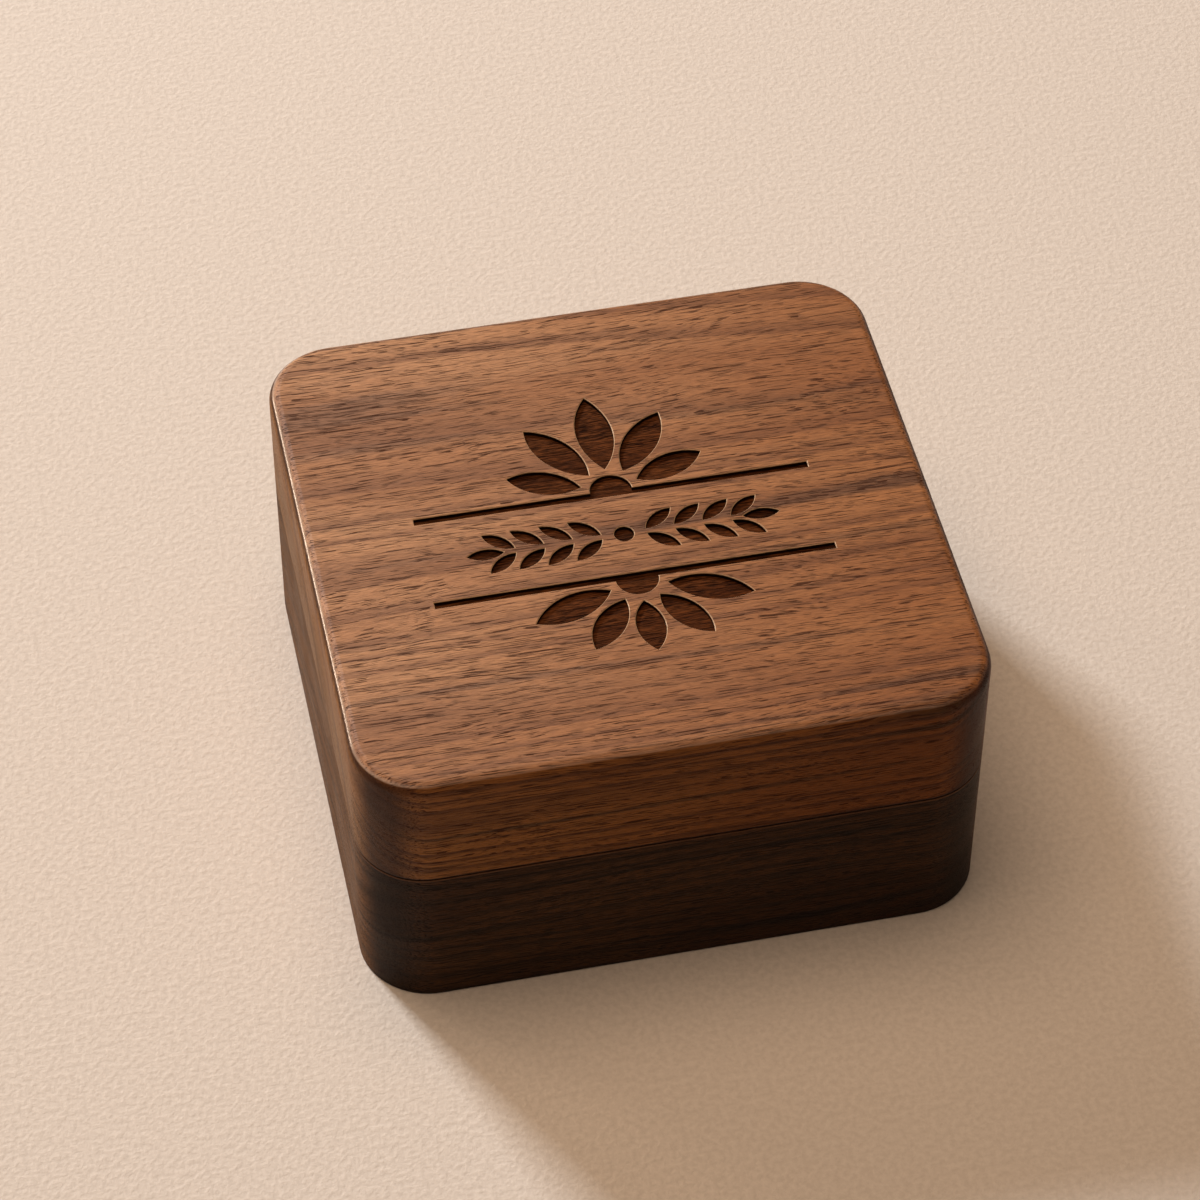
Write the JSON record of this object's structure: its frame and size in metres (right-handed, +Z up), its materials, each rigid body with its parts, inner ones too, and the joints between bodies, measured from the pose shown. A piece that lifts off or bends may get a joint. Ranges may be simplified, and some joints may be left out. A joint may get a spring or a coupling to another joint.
{
  "type": "wooden keepsake box",
  "caption": "Square walnut box for papers and keepsakes, with a hinged, engraved lid over a darker base, magnets in the rims and a padded lining.",
  "frame": {"origin": "centre of the underside, on the surface that the box stands on", "axes": "+Z up, +X to the right and +Y to the rear, where the hinges are; the lid opens at the front, -Y"},
  "size_m": [0.1, 0.098, 0.0498],
  "materials": {
    "dark_walnut": "oiled, dark stained",
    "walnut": "oiled, satin",
    "brass": "satin",
    "steel_pin": "drawn",
    "nickel_plate": "plated",
    "lining": "brushed",
    "pad_cover": "brushed"
  },
  "bodies": {
    "base": {"base_body": "dark_walnut", "base_wall_lining": "lining", "base_floor_pad": "pad_cover", "left_hinge_base_leaf": "brass", "left_hinge_base_screws": "brass", "left_hinge_pin": "steel_pin", "left_base_magnet": "nickel_plate", "right_hinge_base_leaf": "brass", "right_hinge_base_screws": "brass", "right_hinge_pin": "steel_pin", "right_base_magnet": "nickel_plate"},
    "lid": {"lid_body": "walnut", "lid_wall_lining": "lining", "lid_pad": "pad_cover", "left_hinge_lid_leaf": "brass", "left_hinge_lid_screws": "brass", "left_lid_magnet": "nickel_plate", "right_hinge_lid_leaf": "brass", "right_hinge_lid_screws": "brass", "right_lid_magnet": "nickel_plate"}
  },
  "joints": [
    {"name": "lid_hinge", "type": "hinge", "parent": "base", "child": "lid", "pos_m": [0, 0.0467, 0.0282], "axis": [-1, 0, 0], "range_deg": [0, 95]}
  ]
}
